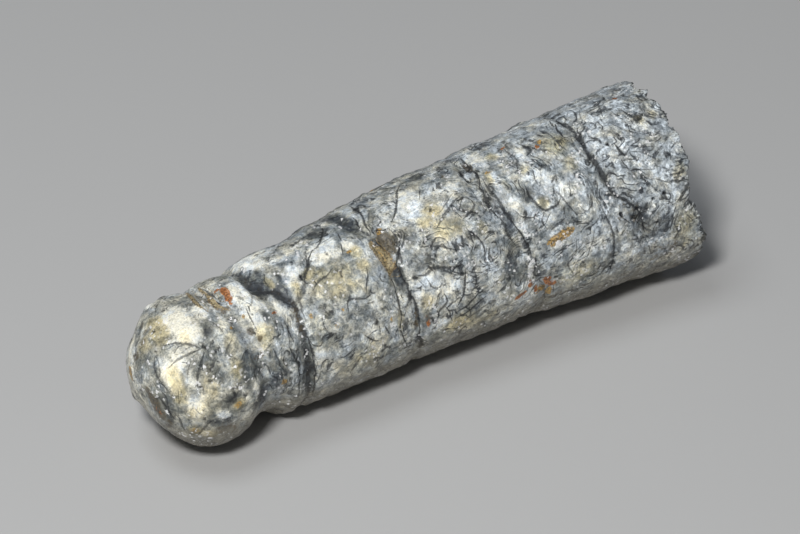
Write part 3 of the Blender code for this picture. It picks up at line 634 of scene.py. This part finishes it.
VEILS_AND_SHADE = (
    # near side
    (-21.3, -3, 1.3, 2.6, 1.1), (-21.2, 9, 0.8, 1.2, 1), (-19.8, 24, 0.9, 1.3, 1.1),
    (-19.1, 13, 0.4, 1.3, 0.7), (-29.5, 22, 0.6, 0.9, 0.5), (-29.6, 77, 1, 0.7, 0.9),
    (-30.6, 55, 0.8, 1.2, 0.7), (-32.6, 88, 0.8, 0.7, 0.6), (-27.4, 64, 0.7, 2, 0.7),
    (-26.6, 53, 0.5, 0.8, 0.9), (-22.9, 32, 0.6, 0.9, 0.5), (-19.6, 90, 0.5, 2.8, 1.1),
    (-17.4, 0, 0.9, 1, 0.5), (-11.4, -12, 1.6, 1.2, 0.7), (-25.4, 90, 1, 1.6, 0.9),
    (-26, 62, 0.9, 1.4, 0.8), (-23.6, 78, 1.2, 2.2, 0.6, 10), (-8.3, -7, 1, 1.9, 1.1),
    (-8.6, -22, 1.3, 2, 0.9), (-6.8, 20, 0.4, 0.9, 0.9), (-6.6, 48, 0.6, 1.8, 1), (7.7, 44, 0.6, 1.4, 1),
    (14.3, 3, 0.7, 1, 0.6), (11, 32, 0.8, 1.4, 0.6), (6.4, 72, 0.8, 1.6, 0.6), (2.5, -19, 1.6, 1, 0.9),
    (-3.6, 27, 1, 1.2, 0.5), (22.6, 72, 1.2, 1.4, 0.8), (25.5, 30, 1.4, 1.6, 0.5),
    # painted shade: the first three long marks on the next line, 46 degrees up the far top, darken the
    # band along the top edge
    (-14, -46, 6, 1.5, 0.8), (2, -46, 8, 1.5, 0.8), (18, -46, 7, 1.5, 0.8), (-3.6, 46, 2, 0.8, 0.5),
    (4.9, -12, 1, 1.4, 0.6), (-17.4, -30, 2.4, 1.4, 0.6), (-37.2, 62, 0.7, 4, 0.5),
    (-31.4, 95, 1.4, 0.9, 0.6, 40), (9.8, 86, 0.8, 1, 0.4), (24.5, 82, 2, 1.8, 0.5),
    # far side and underneath
    (24, 250, 4, 5, 0.6), (2, 250, 4, 3, 0.7), (-24, 230, 2, 4, 0.7), (-10, 225, 2, 4, 0.6),
    (12, 180, 3, 3, 0.6), (-30, 260, 3, 3, 0.6),
)
BROWN = (
    # near side
    (-6, 22, 0.85, 1.8, 1.1), (-25.2, 37, 0.5, 0.6, 0.75), (-24.5, 45, 0.4, 0.6, 0.75, 30),
    (-25.1, 57, 0.5, 0.6, 0.7), (-25.8, 57, 0.5, 0.5, 0.6), (-26.3, 12, 0.6, 0.5, 0.9),
    (-26.9, 28, 0.3, 0.3, 0.9), (-39.5, 43, 0.55, 1.4, 0.9), (-39.2, 62, 0.5, 1.8, 1),
    (-38.6, 80, 0.5, 1.8, 1), (-38.2, 95, 0.5, 1.2, 0.9), (-37.4, 107, 0.6, 1.2, 0.8),
    (-35.6, -20, 0.9, 1.4, 0.4), (-33.8, -38, 0.6, 0.5, 0.8), (-34.4, -26, 0.5, 0.7, 0.6),
    (-37.2, -28, 0.6, 0.9, 0.8), (7.7, -8, 0.4, 0.9, 1.1), (-5.7, 83, 0.18, 1.8, 0.9),
    (-4.4, 86, 0.5, 0.9, 0.8), (20.3, 68, 0.5, 0.7, 0.6), (22.1, 72, 0.5, 0.6, 0.6),
    (4.3, -8, 0.5, 0.5, 0.7), (-7.3, 44, 0.4, 0.8, 0.6), (-19.5, 45, 0.3, 1.6, 0.7),
    (21.4, 66, 1.2, 1.4, 0.45), (9.8, 97, 2.2, 1.2, 0.45), (12.2, 99, 0.6, 0.5, 0.7),
    (26, 104, 3, 1.6, 0.5), (12, 108, 4, 1.2, 0.5), (-30.5, 104, 2, 1.4, 0.6),
    # far side and underneath
    (-33, 130, 3, 2, 0.4), (6, 140, 5, 2, 0.4), (-15, 140, 4, 2, 0.4), (20, 140, 4, 2, 0.4),
)
RUST = (
    (-25, -2, 0.5, 0.9, 1), (-25.2, 5, 0.5, 0.6, 1), (-25.5, -8, 0.6, 0.25, 0.7),
    (-25.4, 10, 0.3, 0.4, 0.7), (-21.7, 33, 0.4, 0.22, 0.9), (15.4, 4.5, 0.35, 0.3, 0.9),
    (12.2, -6.5, 0.35, 0.22, 0.8), (27.2, -10, 0.35, 0.35, 0.8), (8.5, 90, 0.4, 0.55, 0.9),
    (7.3, 96, 1, 0.38, 0.8, -20), (10.8, 93, 0.55, 0.7, 0.9), (11.4, 97, 0.6, 0.5, 0.8),
    (9.3, 97, 0.35, 0.55, 0.7), (-39, 78, 0.2, 0.5, 0.5), (-38.5, 86, 0.2, 0.5, 0.45),
    (-4.4, 90, 0.3, 0.5, 0.8), (-4.6, 83, 0.2, 0.2, 0.6),
)
OCHRE = (
    (12.9, 65.5, 2, 0.6, 1, -12), (11.8, 68, 0.6, 0.6, 0.7), (11.2, 104, 0.5, 0.8, 0.8),
    (10.3, 100, 0.5, 0.5, 0.7), (-7.3, 29, 0.3, 1.8, 0.45), (-10.6, 18, 0.45, 0.25, 0.9),
    (8.6, 8, 0.6, 0.3, 0.7), (16, 1.5, 0.5, 0.3, 0.8, -30), (-23, 84, 0.5, 0.5, 0.7),
    (-26.9, 28, 0.3, 0.3, 0.8), (-25.1, 25, 0.25, 0.25, 0.8), (-14.4, 53, 0.3, 0.3, 0.6),
    (-9, 74, 0.3, 0.5, 0.6), (-38.8, -52, 1, 0.5, 0.8), (25.9, -42, 4, 0.7, 0.5), (0, -47, 5, 0.7, 0.5),
    (-18, 47, 0.4, 0.6, 0.5), (-15.6, 61, 0.4, 0.5, 0.5), (-6, 12, 0.5, 0.4, 0.6),
    (-34.1, 103, 0.8, 0.7, 0.5), (-29, 84, 0.7, 0.6, 0.5), (10, 99, 1, 0.8, 0.6),
)
SPARKLE = (
    (8.7, 77, 0.6, 1.6, 1), (-37.5, 6, 0.8, 1.4, 0.8), (-37.6, 82, 0.5, 1.2, 0.9),
    (-28.6, 70, 0.5, 0.7, 0.9), (-32.3, 45, 0.5, 0.5, 0.7), (-40.2, 8, 0.7, 1.6, 0.9),
    (12.2, 68, 0.6, 0.5, 0.9), (11, 13, 0.9, 1.6, 0.8), (-16.4, 52, 2.2, 2.6, 0.6),
    (-19, 48, 0.5, 1.6, 0.8), (-17.8, 8, 1.6, 1.6, 0.7), (-3, 38, 1.6, 1.5, 0.5),
    (1.2, 14, 1.2, 0.8, 0.6), (9, 52, 0.6, 1.6, 0.8), (-13, -8, 2, 1.6, 0.5), (23, 72, 2.6, 2.5, 0.6),
    (4.5, 8, 1, 1, 0.6), (8.6, 104, 0.6, 1.2, 0.7), (-29.5, -8, 1.8, 1.6, 0.6), (19.5, 18, 0.8, 1.2, 0.6),
)
for name, marks in (("white", WHITE), ("cream", CREAM), ("veil_and_shade", VEILS_AND_SHADE), ("brown", BROWN),
                    ("rust", RUST), ("ochre", OCHRE), ("sparkle", SPARKLE)):
    keep(name, spread(marks))

# painted highlights: single crystals that glint, painted white into the colour: (along, around, radius)
PAINTED_GLINTS = (
    (-40.2, 0, 0.25), (-40, 18, 0.2), (-37.7, 78, 0.18), (-37.6, 81, 0.2), (-37.6, 84, 0.18),
    (-36.9, 2, 0.22), (-37, 6, 0.2), (-36.2, 60, 0.18), (-34.9, 83, 0.16), (-31, 90, 0.16),
    (-37.9, -3, 0.18), (-31.8, 45, 0.2), (-28.5, 72, 0.22), (-29.1, 69, 0.2), (-28.5, 55, 0.2),
    (-16.5, 28, 0.25), (-16, 25, 0.18), (-19.2, 6, 0.2), (-17.5, 12, 0.2), (-19.3, 48, 0.16),
    (-21, 108, 0.2), (-7.9, -17, 0.22), (-7.5, 3, 0.18), (-5.9, 43, 0.18), (-2, 27, 0.2),
    (0.6, 13.5, 0.2), (2, 15.5, 0.18), (-0.2, -11, 0.18), (10.9, 10, 0.22), (10.5, 14.5, 0.18),
    (11.6, 17.5, 0.2), (19.5, 18, 0.25), (2.1, 62, 0.16), (12.4, 69.5, 0.42), (8.75, 73, 0.28),
    (9.2, 76, 0.26), (8.75, 78, 0.3), (8.95, 82, 0.28), (8.6, 84, 0.34), (8.25, 88, 0.26),
    (8.85, 89, 0.22), (9, 58, 0.2), (8.8, 54, 0.2), (8.9, 108, 0.3), (27.2, 88, 0.2), (-8, 93, 0.16),
    (-16.7, 52, 0.18), (-16.1, 55, 0.16), (8.8, 48, 0.18), (8.9, 51, 0.16), (9, 54, 0.18),
    (9.1, 56.5, 0.16), (25.2, -14, 0.18), (23.4, 55, 0.16), (-34, 10, 0.14),
)
painted_glint_cover = np.zeros(len(skin))
for along, around, radius in PAINTED_GLINTS:
    away = np.hypot(*offset_from(along, around)) / radius
    painted_glint_cover = np.maximum(painted_glint_cover, eased(1.5 - away))
# kept as "crystal" for the material, which paints these spots white as painted highlights
keep("crystal", painted_glint_cover)
keep("along", skin_along)

# --- The flow of the hair-thin threads ----------------------------------------------------------
# The finest threads lie in sets, side by side, and each set curls its own way.

# (along, around, reach, way, how many): way "ring" curls around the place, a number is its lean
SETS = (
    (-38, 50, 4, 90, 0.3), (-34, 10, 4, 30, 0.1), (-33.5, 35, 4, "ring", 0.3), (-31, 75, 5, 60, 0.35),
    (-29, 45, 3, 50, 0.4), (-24, 20, 4, 70, 0.5), (-24, 85, 4, 80, 0.9), (-20, -25, 5, 20, 0.5),
    (-14.5, 5, 5, 110, 0.4), (-14, 45, 5, "ring", 0.2), (-13, 85, 5, -20, 0.35), (-11, -25, 5, 15, 0.6),
    (-2, 80, 5.5, "ring", 0.9), (-1, 45, 4, "ring", 0.8), (3.6, 20, 3.5, "ring", 0.9),
    (-0.5, 8, 3, 0, 0.1), (-3, -14, 4, 30, 0.6), (1, 105, 5, 5, 0.7), (12, 5, 5, 60, 0.6),
    (12.5, 40, 4.5, 100, 0.6), (14.5, 80, 5.5, -24, 0.8), (14, -25, 5, 10, 0.8), (25, 10, 6, "ring", 1),
    (25, 50, 6, 25, 1), (25, 90, 6, 70, 0.9), (25, -40, 6, 10, 1), (-6, 150, 7, 15, 0.5),
    (10, 170, 7, "ring", 0.6), (-20, 170, 7, -30, 0.5), (-30, 200, 7, 40, 0.4), (24, 180, 7, 80, 0.8),
    (-12, 230, 7, "ring", 0.5), (3, 235, 7, -40, 0.6), (18, 240, 7, 30, 0.8), (-25, 270, 6, 60, 0.5),
    (-5, 290, 6, 20, 0.6), (10, 300, 6, -20, 0.7),
)
flow = np.zeros(len(skin))
threads = np.zeros(len(skin))
weights = np.full(len(skin), 1e-6)
for along, around, reach, way, density in SETS:
    lengthwise, breadthwise = offset_from(along, around)
    weight = np.exp(-2.5 * (lengthwise**2 + breadthwise**2) / reach**2)
    if way == "ring":
        across = np.hypot(lengthwise, breadthwise)
    else:
        lean = math.radians(way)
        across = breadthwise * math.cos(lean) - lengthwise * math.sin(lean)
    flow += weight * across
    threads += weight * density
    weights += weight
keep("flow", flow / weights)
keep("threads", threads / weights)

# --- Hollows, pits, crusts and the broken end ---------------------------------------------------
# Crystals have dropped out towards the broken end, and the cracks stand open. The end itself is
# broken along crystal faces, and its rim is chipped. Nothing passes the stone's box.

# (along, around, half length, half breadth, depth), and then the lean of those that have one
HOLLOWS = (
    (-6, 22, 0.85, 1.9, 0.6), (7.7, -8, 0.4, 0.9, 0.45), (-25.3, 56, 0.8, 0.9, 0.3),
    (-24.9, 84, 0.6, 1.6, 0.25), (-24.9, 67, 0.5, 0.9, 0.25), (-16.4, 18, 0.7, 0.9, 0.3),
    (-25.4, 3, 0.8, 1.6, 0.12), (4.3, -8, 0.5, 0.6, 0.25), (13.2, 64.5, 1.6, 0.45, -0.08, -12),
    (-31.3, -46, 0.7, 0.6, -0.18), (-29.2, -50, 0.6, 0.5, -0.18), (-38.6, 78, 0.5, 2.6, -0.12),
    (-37.4, 100, 0.5, 1.4, -0.12), (-34.8, -30, 1.2, 0.6, 0.2, 20), (22.4, 71, 1, 1.2, 0.14),
)
# (along, around, radius, depth)
PITS = (
    (22.3, 22.5, 0.26, 0.3), (20.5, 66.5, 0.35, 0.3), (21.1, 80, 0.2, 0.24), (22.3, 80, 0.25, 0.26),
    (24.6, 64, 0.25, 0.26), (26, 63, 0.25, 0.26), (24.5, 79.5, 0.25, 0.24), (25, 78, 0.2, 0.22),
    (22.5, 68, 0.3, 0.3), (26.8, 72, 0.2, 0.22), (18.7, 100, 0.2, 0.22), (21.6, 43, 0.2, 0.22),
    (22.5, 44, 0.2, 0.22), (-26.1, 17.5, 0.26, 0.3), (-24.8, 40, 0.22, 0.24), (-25.1, 57, 0.3, 0.26),
    (-13, 27, 0.24, 0.22), (-12.2, 28, 0.2, 0.2), (-0.55, 65, 0.2, 0.2), (-16.7, 18, 0.35, 0.34),
    (-25.2, 92, 0.3, 0.28), (-20, 56, 0.26, 0.26), (6.9, 2, 0.35, 0.3),
)
CHIP_SIZE, CHIP_DEPTH = 1.5, 0.40  # of the rim
CHIP_SHARE = 0.25  # more leaves less of the rim whole
FINE_CHIPS, FINE_CHIP_DEPTH = 2.3, 0.4  # how many times smaller they are, and their share of the depth
CHIPS_ALONG, CHIPS_FADE = 27.0, 3.0  # where they begin, and how far on they are full
WORN_AROUND, WORN_SPREAD, WEAR = 95, 40, 0.7  # where the rim is worn rounder, and by what share
FACE_SIZE, FACE_LEAN, FACE_STEP = 2.1, 0.55, 0.7  # of the crystal faces on the broken end

pitted = np.zeros(len(skin))
for along, around, radius, depth in PITS:
    away = np.linalg.norm(skin - place(along, around), axis=1) / radius
    pitted = np.maximum(pitted, depth * eased(1.5 - away))
keep("pit", pitted)
hollowed = np.zeros(len(skin))
for along, around, half_length, half_breadth, depth, *lean in HOLLOWS:
    hollowed += depth * spread([(along, around, half_length, half_breadth, 1, *lean)])
moved = skin - outward * (sunk + pitted + hollowed - raised)[:, None]
worn = np.exp(-((turned_from(WORN_AROUND) / WORN_SPREAD) ** 2))
for number in np.flatnonzero(skin_along > CHIPS_ALONG):
    point = Vector(skin[number])
    chip = CHIP_SHARE + noise.noise(point / CHIP_SIZE)
    chip += FINE_CHIP_DEPTH * noise.noise(point / CHIP_SIZE * FINE_CHIPS)
    chipped = CHIP_DEPTH * (1 - WEAR * worn[number])
    back = chipped * min(max(chip, 0), 1) * eased((skin_along[number] - CHIPS_ALONG) / CHIPS_FADE)
    if on_break[number] > 0:
        flat_spot = Vector((0, point.y, point.z)) / FACE_SIZE
        _, centres = noise.voronoi(flat_spot)
        lean = noise.cell_vector(centres[0] * 7.3)
        face = (flat_spot - centres[0]).dot(Vector((0, lean.x - 0.5, lean.y - 0.5))) * FACE_SIZE
        back += on_break[number] * (FACE_LEAN * 2 * face + FACE_STEP * (0.6 - lean.z))
    moved[number, 0] -= back
low_corner = np.array(cad_low) / MM
high_corner = np.array(cad_high) / MM
moved = np.clip(moved, low_corner, high_corner)
stone.data.vertices.foreach_set("co", (moved * MM).ravel())
stone.data.update()

# --- The calcite --------------------------------------------------------------------------------
# Half-glossy calcite: white, cream and grey clouds, hair-thin dark threads, dark seams, rust, and
# small crystal faces that catch the light, with painted highlights on single crystals and painted
# shade low down and along the far top edge. Sizes are in millimetres. Where one effect eases into
# another, step is given the value at which it starts to and the value at which it has.

WHITE_TONE = (0.93, 0.95, 0.94, 1)
GREY_TONE = (0.175, 0.192, 0.195, 1)
CREAM_TONE = (0.66, 0.61, 0.42, 1)
CREAM_TINT = (1.0, 0.90, 0.66, 1)
COOL_TINT = (0.91, 0.99, 1.09, 1)
WARM_TINT = (1.06, 1.0, 0.85, 1)
# the dark grey of clay veils, also used for the painted shade along the far top edge
VEIL_AND_SHADE_TONE = (0.047, 0.053, 0.062, 1)
THREAD_TONE = (0.012, 0.014, 0.017, 1)
BROWN_TONE = (0.100, 0.075, 0.038, 1)
DEEP_BROWN_TONE = (0.032, 0.025, 0.018, 1)
OCHRE_TONE = (0.56, 0.34, 0.09, 1)
LEDGE_TONE = (0.46, 0.38, 0.22, 1)
RUST_TONE = (0.58, 0.22, 0.06, 1)
DEEP_RUST_TONE = (0.20, 0.07, 0.02, 1)
# the white of the painted highlights
PAINTED_HIGHLIGHT_TONE = (1, 1, 1, 1)
# the colour of the painted shade and brown dirt low down
LOW_SHADE_AND_DIRT_TONE = (0.15, 0.13, 0.095, 1)
UNTINTED = (1, 1, 1, 1)
CALCITE_IOR = 1.52

calcite = bpy.data.materials.new("veined calcite")
calcite.use_nodes = True
tree = calcite.node_tree
shader = tree.nodes["Principled BSDF"]


def put(socket, value):
    if isinstance(value, bpy.types.NodeSocket):
        tree.links.new(value, socket)
    else:
        socket.default_value = value


def maths(operation, *values):
    node = tree.nodes.new("ShaderNodeMath")
    node.operation = operation
    for socket, value in zip(node.inputs, values):
        put(socket, value)
    return node.outputs[0]


def add(*values):
    """The sum of the values, where any may be given as (value, how many times)."""
    total = None
    for value in values:
        if isinstance(value, tuple):
            value = maths("MULTIPLY", *value)
        total = value if total is None else maths("ADD", total, value)
    return total


def times(*values):
    total = values[0]
    for value in values[1:]:
        total = maths("MULTIPLY", total, value)
    return total


def vector_maths(operation, *values, scale=None):
    node = tree.nodes.new("ShaderNodeVectorMath")
    node.operation = operation
    for socket, value in zip(node.inputs, values):
        put(socket, value)
    if scale is not None:
        put(node.inputs["Scale"], scale)
    return node.outputs[0]


def step(value, low, high, out_low=0.0, out_high=1.0):
    """Eases from one value to another while the first goes from low to high."""
    node = tree.nodes.new("ShaderNodeMapRange")
    node.interpolation_type = "SMOOTHSTEP"
    for socket, number in zip(node.inputs, (value, low, high, out_low, out_high)):
        put(socket, number)
    return node.outputs[0]


def kept(name):
    node = tree.nodes.new("ShaderNodeAttribute")
    node.attribute_name = name
    return node.outputs["Fac"]


def texture(kind, where, size):
    node = tree.nodes.new(kind)
    put(node.inputs["Vector"], where)
    put(node.inputs["Scale"], 1.0 / size)
    return node


def clouds(where, size, detail=2.0, roughness=0.5, across=None):
    """Noise from 0 to 1. Given how far across a flow each point is, it runs along the flow."""
    node = texture("ShaderNodeTexNoise", where, size)
    put(node.inputs["Detail"], detail)
    put(node.inputs["Roughness"], roughness)
    if across is not None:
        node.noise_dimensions = "4D"
        put(node.inputs["W"], times(across, size))
    return node.outputs[0]


def drift(where, size, far, detail=2.0):
    """The place, moved by up to about half of far, differently from one place to the next."""
    node = texture("ShaderNodeTexNoise", where, size)
    put(node.inputs["Detail"], detail)
    moved = vector_maths("SUBTRACT", node.outputs["Color"], (0.5, 0.5, 0.5))
    return vector_maths("ADD", where, vector_maths("SCALE", moved, scale=far))


def cells(where, size, across=None):
    """Crystal grains: a chance value for each, and the way from its middle to its edge. Given
    across, as for clouds, they lie along the flow."""
    node = texture("ShaderNodeTexVoronoi", where, size)
    if across is not None:
        node.voronoi_dimensions = "4D"
        put(node.inputs["W"], times(across, size))
    return node.outputs["Color"], node.outputs["Distance"]


def tint(amount, under, over, mode="MIX"):
    node = tree.nodes.new("ShaderNodeMix")
    node.data_type = "RGBA"
    node.blend_type = mode
    put(node.inputs["Factor"], amount)
    put(node.inputs[6], under)
    put(node.inputs[7], over)
    return node.outputs[2]


def shaded(under, by):
    """The colour made lighter, darker or more of a hue."""
    return tint(1.0, under, by, mode="MULTIPLY")


def near_half(value, core, edge):
    """1 where the value is close to one half, which draws thin lines round its clouds."""
    return step(maths("ABSOLUTE", maths("SUBTRACT", value, 0.5)), core, edge, 1.0, 0.0)


coordinates = tree.nodes.new("ShaderNodeTexCoord")
spot = vector_maths("SCALE", coordinates.outputs["Object"], scale=1 / MM)
ruffled = drift(spot, 1.6, 0.9)
curled = drift(ruffled, 6.0, 5.0, 1.0)
big = clouds(ruffled, 3.2, 5.0, 0.62)
small = clouds(ruffled, 0.75, 4.0, 0.65)
dust = clouds(spot, 0.22, 3.0, 0.7)
rough_edge = maths("SUBTRACT", small, 0.5)
fine_edge = maths("SUBTRACT", dust, 0.5)
white = kept("white")
veiled_and_shaded = kept("veil_and_shade")
creamy = kept("cream")
along_stone = kept("along")
towards_break = step(along_stone, 16.0, 24.0)
parts = tree.nodes.new("ShaderNodeSeparateXYZ")
put(parts.inputs[0], spot)
height = parts.outputs["Z"]

ledge = maths("ABSOLUTE", kept("ledge across"))
ledge_core = step(add(ledge, (fine_edge, 1.2)), 0.7, 1.2, 1.0, 0.0)
ledge_flank = step(add(ledge, (fine_edge, 1.4)), 1.3, 2.6, 1.0, 0.0)

# white, grey and cream clouds
whiteness = add((white, 0.36), (big, 0.80), (small, 0.80), (veiled_and_shaded, -0.22))
whiteness = add(whiteness, step(along_stone, 14.0, 24.0, 0.0, 0.07))
whiteness = add(whiteness, step(along_stone, -24.0, -30.0, 0.0, -0.04))
colour = tint(step(whiteness, 0.56, 1.08), GREY_TONE, WHITE_TONE)
creaminess = add((creamy, 0.44), (clouds(ruffled, 2.6, 4.0, 0.6), 0.7), (small, 0.35))
cream = shaded(colour, CREAM_TINT)
colour = tint(times(step(creaminess, 0.50, 1.0), 0.9), colour, cream)
colour = tint(times(step(creaminess, 0.74, 1.1), 0.55), colour, CREAM_TONE)
blotch, _ = cells(drift(spot, 0.8, 0.5), 0.9)
colour = shaded(colour, step(blotch, 0.0, 1.0, 0.82, 1.16))

# veils and streaks of clay, with the painted shade along the far top edge, and threads side by side
flowing = add(kept("flow"), (clouds(spot, 3.4, 2.0), 4.5))
crowd = kept("threads")
veil_and_shade = add((veiled_and_shaded, 0.36), (clouds(curled, 2.1, 5.0, 0.65), 0.95), (white, -0.12))
veil_and_shade = add(veil_and_shade, (fine_edge, 0.80), (rough_edge, 0.45))
crumbs = step(cells(ruffled, 0.42)[0], 0.50, 0.60, 1.0, 0.30)
colour = tint(times(step(veil_and_shade, 0.50, 0.80), crumbs, 0.9), colour, VEIL_AND_SHADE_TONE)
streak = add(clouds(ruffled, 2.2, 2.0, 0.55, across=times(flowing, 1.1)), (fine_edge, 0.25))
streak_ink = times(step(streak, 0.42, 0.32), step(crowd, 0.0, 1.0, 0.25, 0.8))
colour = tint(streak_ink, colour, VEIL_AND_SHADE_TONE)
hair = clouds(spot, 3.0, 2.0, 0.5, across=times(flowing, 1.0))
hair_ink = near_half(add(hair, (fine_edge, 0.05)), 0.012, 0.05)
hair_ink = times(hair_ink, step(add(clouds(spot, 1.7, 3.0, 0.55), (crowd, 0.12)), 0.58, 0.68))
set_ink = near_half(maths("FRACT", times(flowing, 1.35)), 0.04, 0.15)
set_ink = times(set_ink, step(add(clouds(spot, 2.6, 3.0, 0.55), (crowd, 0.14)), 0.64, 0.76))
set_ink = times(set_ink, step(along_stone, -28.0, -22.0))
worm = add(clouds(ruffled, 0.8, 2.0, 0.6, across=times(flowing, 0.8)), (fine_edge, 0.25))
worm_ink = times(step(worm, 0.46, 0.34), towards_break)
ink = maths("MAXIMUM", maths("MAXIMUM", hair_ink, set_ink), times(worm_ink, 0.28))
colour = tint(times(ink, 0.85), colour, THREAD_TONE)

dots = times(step(cells(ruffled, 0.30)[0], 0.40, 0.32), towards_break)
colour = tint(times(dots, 0.35), colour, VEIL_AND_SHADE_TONE)

# seams: dark clay, with a brown middle
seam = add(kept("seam"), (rough_edge, 1.7), (fine_edge, 1.5))
colour = tint(times(step(seam, 0.24, 0.75), step(crumbs, 0.3, 1.0, 0.6, 0.95)), colour, VEIL_AND_SHADE_TONE)
seam_brown = tint(step(big, 0.42, 0.62), THREAD_TONE, DEEP_BROWN_TONE)
colour = tint(times(step(seam, 0.65, 1.05), 0.9), colour, seam_brown)

# bluish and yellowish: bluer on top towards the broken end, yellower on the ball and low down
warmth = add(clouds(drift(spot, 1.1, 0.8), 1.9, 5.0, 0.68), (fine_edge, 0.30), (creamy, 0.08))
warmth = add(warmth, step(along_stone, -30.0, -22.0, 0.09, 0.01), step(height, 10.0, 2.0, 0.0, 0.12))
warmth = add(warmth, (times(step(along_stone, 4.0, 16.0), step(height, 5.0, 16.0)), -0.07))
warm_or_cool = tint(step(warmth, 0.32, 0.70), COOL_TINT, WARM_TINT)
colour = shaded(colour, warm_or_cool)

# grains, lighter and darker than their neighbours, with dark joints towards the broken end
grain, grain_edge = cells(spot, 0.60, across=times(flowing, 1.8))
grain_reach = step(along_stone, -27.0, 22.0, 0.55, 1.0)
light_or_dark = tint(grain_reach, UNTINTED, step(grain, 0.1, 0.9, 0.77, 1.26))
colour = shaded(colour, light_or_dark)
joint = step(add(grain_edge, (fine_edge, 0.6)), 0.42, 0.80)
colour = tint(times(joint, step(along_stone, -10.0, 24.0, 0.05, 0.22)), colour, VEIL_AND_SHADE_TONE)
pepper = step(dust, 0.34, 0.66, 0.64, 1.30)
pepper = tint(step(white, 0.2, 0.9, 1.0, 0.55), UNTINTED, pepper)
colour = shaded(colour, pepper)

# stains and rust
brown = add(kept("brown"), (rough_edge, 2.2), (fine_edge, 1.4))
brown_tone = tint(step(dust, 0.35, 0.60), DEEP_BROWN_TONE, BROWN_TONE)
colour = tint(times(step(brown, 0.28, 0.85), 0.85), colour, brown_tone)
flank_tone = tint(step(dust, 0.42, 0.66), DEEP_BROWN_TONE, OCHRE_TONE)
colour = tint(times(ledge_flank, 0.7), colour, flank_tone)
colour = tint(times(ledge_core, 0.9), colour, tint(step(dust, 0.36, 0.60), BROWN_TONE, LEDGE_TONE))
for name, full, strength, deep_tone, tone, dust_low, dust_high in (
    ("ochre", 0.90, 0.9, BROWN_TONE, OCHRE_TONE, 0.38, 0.60),
    ("rust", 0.85, 0.95, DEEP_RUST_TONE, RUST_TONE, 0.42, 0.64),
):
    stain = add((kept(name), 1.5), (rough_edge, 1.1), (fine_edge, 1.2))
    stain_tone = tint(step(dust, dust_low, dust_high), deep_tone, tone)
    colour = tint(times(step(stain, 0.50, full), strength), colour, stain_tone)

# the drawn lines
lines = 0.0
for layer in range(LINE_LAYERS):
    edge = add(maths("ABSOLUTE", kept(f"line {layer} across")), (fine_edge, 2.2))
    drawn = times(step(edge, 0.4, 1.45, 1.0, 0.0), kept(f"line {layer} ink"))
    lines = maths("MAXIMUM", lines, drawn)
colour = tint(times(lines, step(along_stone, -29.0, -23.0, 0.72, 0.88)), colour, THREAD_TONE)
colour = tint(step(add(kept("pit"), (fine_edge, 0.3)), 0.06, 0.22), colour, THREAD_TONE)

# painted shade and some brown dirt low down: the underside is made darker, as if shaded from the lamps
# above, and browner
low_down = add(step(height, 10.5, 2.0), (maths("SUBTRACT", big, 0.5), 0.7))
colour = tint(times(step(low_down, 0.15, 0.9), 0.9), colour, tint(0.8, colour, LOW_SHADE_AND_DIRT_TONE))

# gloss, and crystal faces that catch the light; painted highlights: glinting crystals and small specks
# are also painted white into the colour, and made smoother
facet_share = add((kept("sparkle"), 0.22), clouds(spot, 0.8, 3.0, 0.6))
facet_share = step(facet_share, 0.48, 0.66)
painted_speck = step(cells(spot, 0.24)[0], 0.78, 0.82)
painted_speck = times(painted_speck, step(clouds(spot, 2.4, 2.0), 0.48, 0.62))
painted_glint = step(add(kept("crystal"), (fine_edge, 2.4)), 0.50, 0.75)
painted_glint = maths("MAXIMUM", painted_glint, times(painted_speck, 0.8))
colour = tint(times(painted_glint, 0.9), colour, PAINTED_HIGHLIGHT_TONE)
put(shader.inputs["Base Color"], colour)
gloss = step(dust, 0.3, 0.7, 0.26, 0.46)
gloss = step(facet_share, 0.0, 1.0, gloss, 0.16)
dull = maths("MAXIMUM", step(seam, 0.3, 0.8), lines)
gloss = step(dull, 0.0, 1.0, gloss, 0.75)
put(shader.inputs["Roughness"], step(painted_glint, 0.0, 1.0, gloss, 0.10))
shader.inputs["IOR"].default_value = CALCITE_IOR

relief = add((small, 0.12), (dust, 0.07), (ink, -0.03), (lines, -0.05), (grain_edge, -0.015))
bump = tree.nodes.new("ShaderNodeBump")
put(bump.inputs["Strength"], 1.0)
put(bump.inputs["Distance"], MM)
put(bump.inputs["Height"], relief)
tilt = vector_maths("SUBTRACT", grain, (0.5, 0.5, 0.5))
tilt = vector_maths("SCALE", tilt, scale=add(0.16, (facet_share, 0.60)))
put(shader.inputs["Normal"], vector_maths("NORMALIZE", vector_maths("ADD", bump.outputs[0], tilt)))
stone.data.materials.append(calcite)

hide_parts("fossil")
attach(stone, "root")
